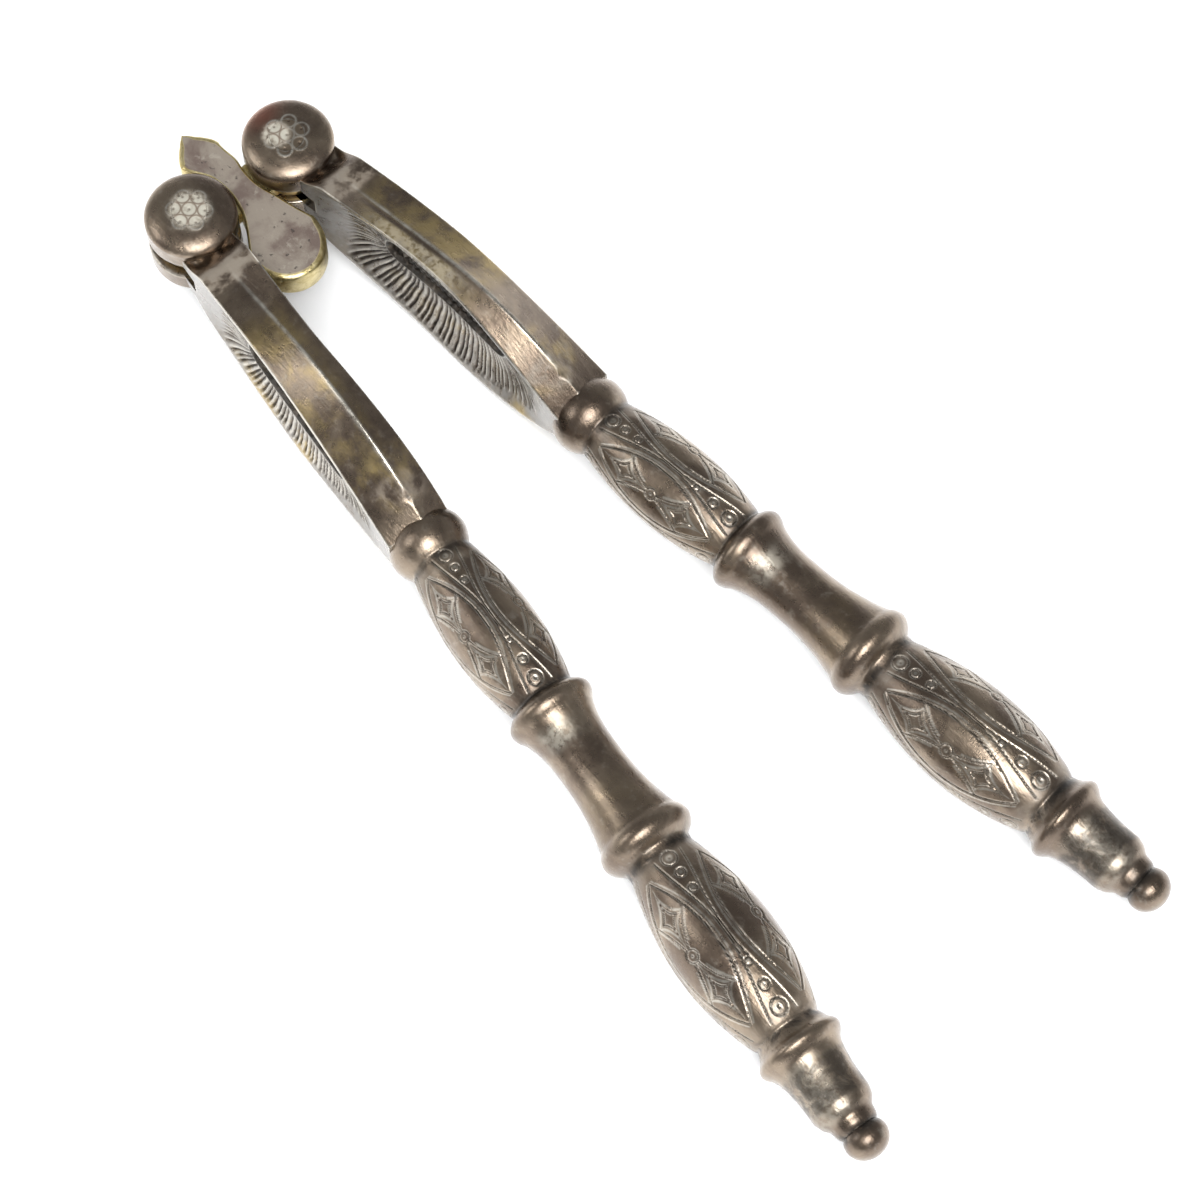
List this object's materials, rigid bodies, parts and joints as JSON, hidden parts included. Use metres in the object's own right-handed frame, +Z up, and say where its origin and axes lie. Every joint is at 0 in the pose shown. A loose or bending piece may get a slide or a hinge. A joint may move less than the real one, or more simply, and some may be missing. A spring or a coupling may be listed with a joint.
{
  "type": "nutcracker",
  "caption": "Reversible hinged nutcracker: toothed oval jaws, bulbous turned handles with engraved panels, and a spade-shaped link between the riveted heads.",
  "frame": {"origin": "under the middle of the object's box, on the plane its jaws rest on", "axes": "+X from the hinge end to the handle ends along the line between the levers, +Y to the right lever, +Z up along the rivets"},
  "size_m": [0.159, 0.0556, 0.0224],
  "materials": {
    "worn_plate": "tarnished silver plate worn to brown bronze and brass, satin",
    "link_brass": "cast brass, dull grey-brown on the flat faces and bright on the edges",
    "rivet_metal": "pale worn rivet ends, punched with small rings"
  },
  "bodies": {
    "link": {"link_plate": "link_brass"},
    "left_arm": {"left_lever": "worn_plate", "left_rivet": "rivet_metal"},
    "right_arm": {"right_lever": "worn_plate", "right_rivet": "rivet_metal"}
  },
  "joints": [
    {"name": "right_hinge", "type": "hinge", "parent": "link", "child": "right_arm", "pos_m": [-0.06875, 0.00815, 0.01119], "axis": [0, 0, 1], "range_deg": [-8.4, 175.5]},
    {"name": "left_hinge", "type": "hinge", "parent": "link", "child": "left_arm", "pos_m": [-0.06866, -0.00815, 0.01119], "axis": [0, 0, -1], "range_deg": [-4.1, 170.5]}
  ]
}
